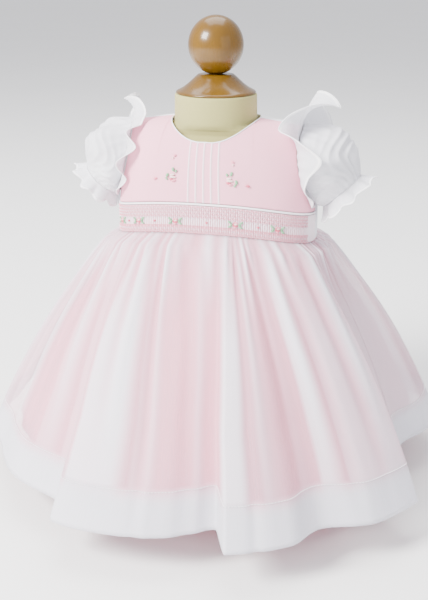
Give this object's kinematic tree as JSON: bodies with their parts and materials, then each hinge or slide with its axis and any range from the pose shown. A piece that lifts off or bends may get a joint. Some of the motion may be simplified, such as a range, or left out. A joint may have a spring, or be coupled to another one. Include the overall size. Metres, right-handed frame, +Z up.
{
  "type": "smocked dress on a dress form",
  "caption": "Short-sleeved smocked infant dress with a sheer overlay skirt and standing armhole ruffles, hung on a small padded dress form with a wooden neck cap and ball",
  "frame": {"origin": "centre of the base disc's underside, on the form's axis", "axes": "+Z up, front of the dress towards -Y, +X to the right of someone who looks at the front"},
  "size_m": [0.4793, 0.5019, 0.472],
  "materials": {
    "enamel": "white enamel",
    "cover_cloth": "cream plain-weave cover",
    "honey_wood": "glossy honey varnish",
    "pink_batiste": "fine pink cotton",
    "pink_lining": "opaque pink cotton lining",
    "white_cotton": "white cotton",
    "smocked_cotton": "pleated white cotton with pink stitching",
    "organdie": "sheer white organdie",
    "button": "pearly white"
  },
  "bodies": {
    "root": {"form_base": "enamel", "form_post": "enamel", "form_torso": "cover_cloth", "neck_cap": "honey_wood", "neck_ball": "honey_wood", "yoke_front": "pink_batiste", "yoke_piping": "white_cotton", "smocked_band": "smocked_cotton", "back_left": "white_cotton", "back_right": "white_cotton", "back_placket": "white_cotton", "button_1": "button", "button_2": "button", "button_3": "button", "skirt_front": "organdie", "skirt_back": "organdie", "underskirt": "pink_lining", "sleeve_left": "organdie", "sleeve_right": "organdie", "cuff_frill_left": "organdie", "cuff_frill_right": "organdie", "armhole_ruffle_left": "organdie", "armhole_ruffle_right": "organdie"}
  },
  "joints": []
}
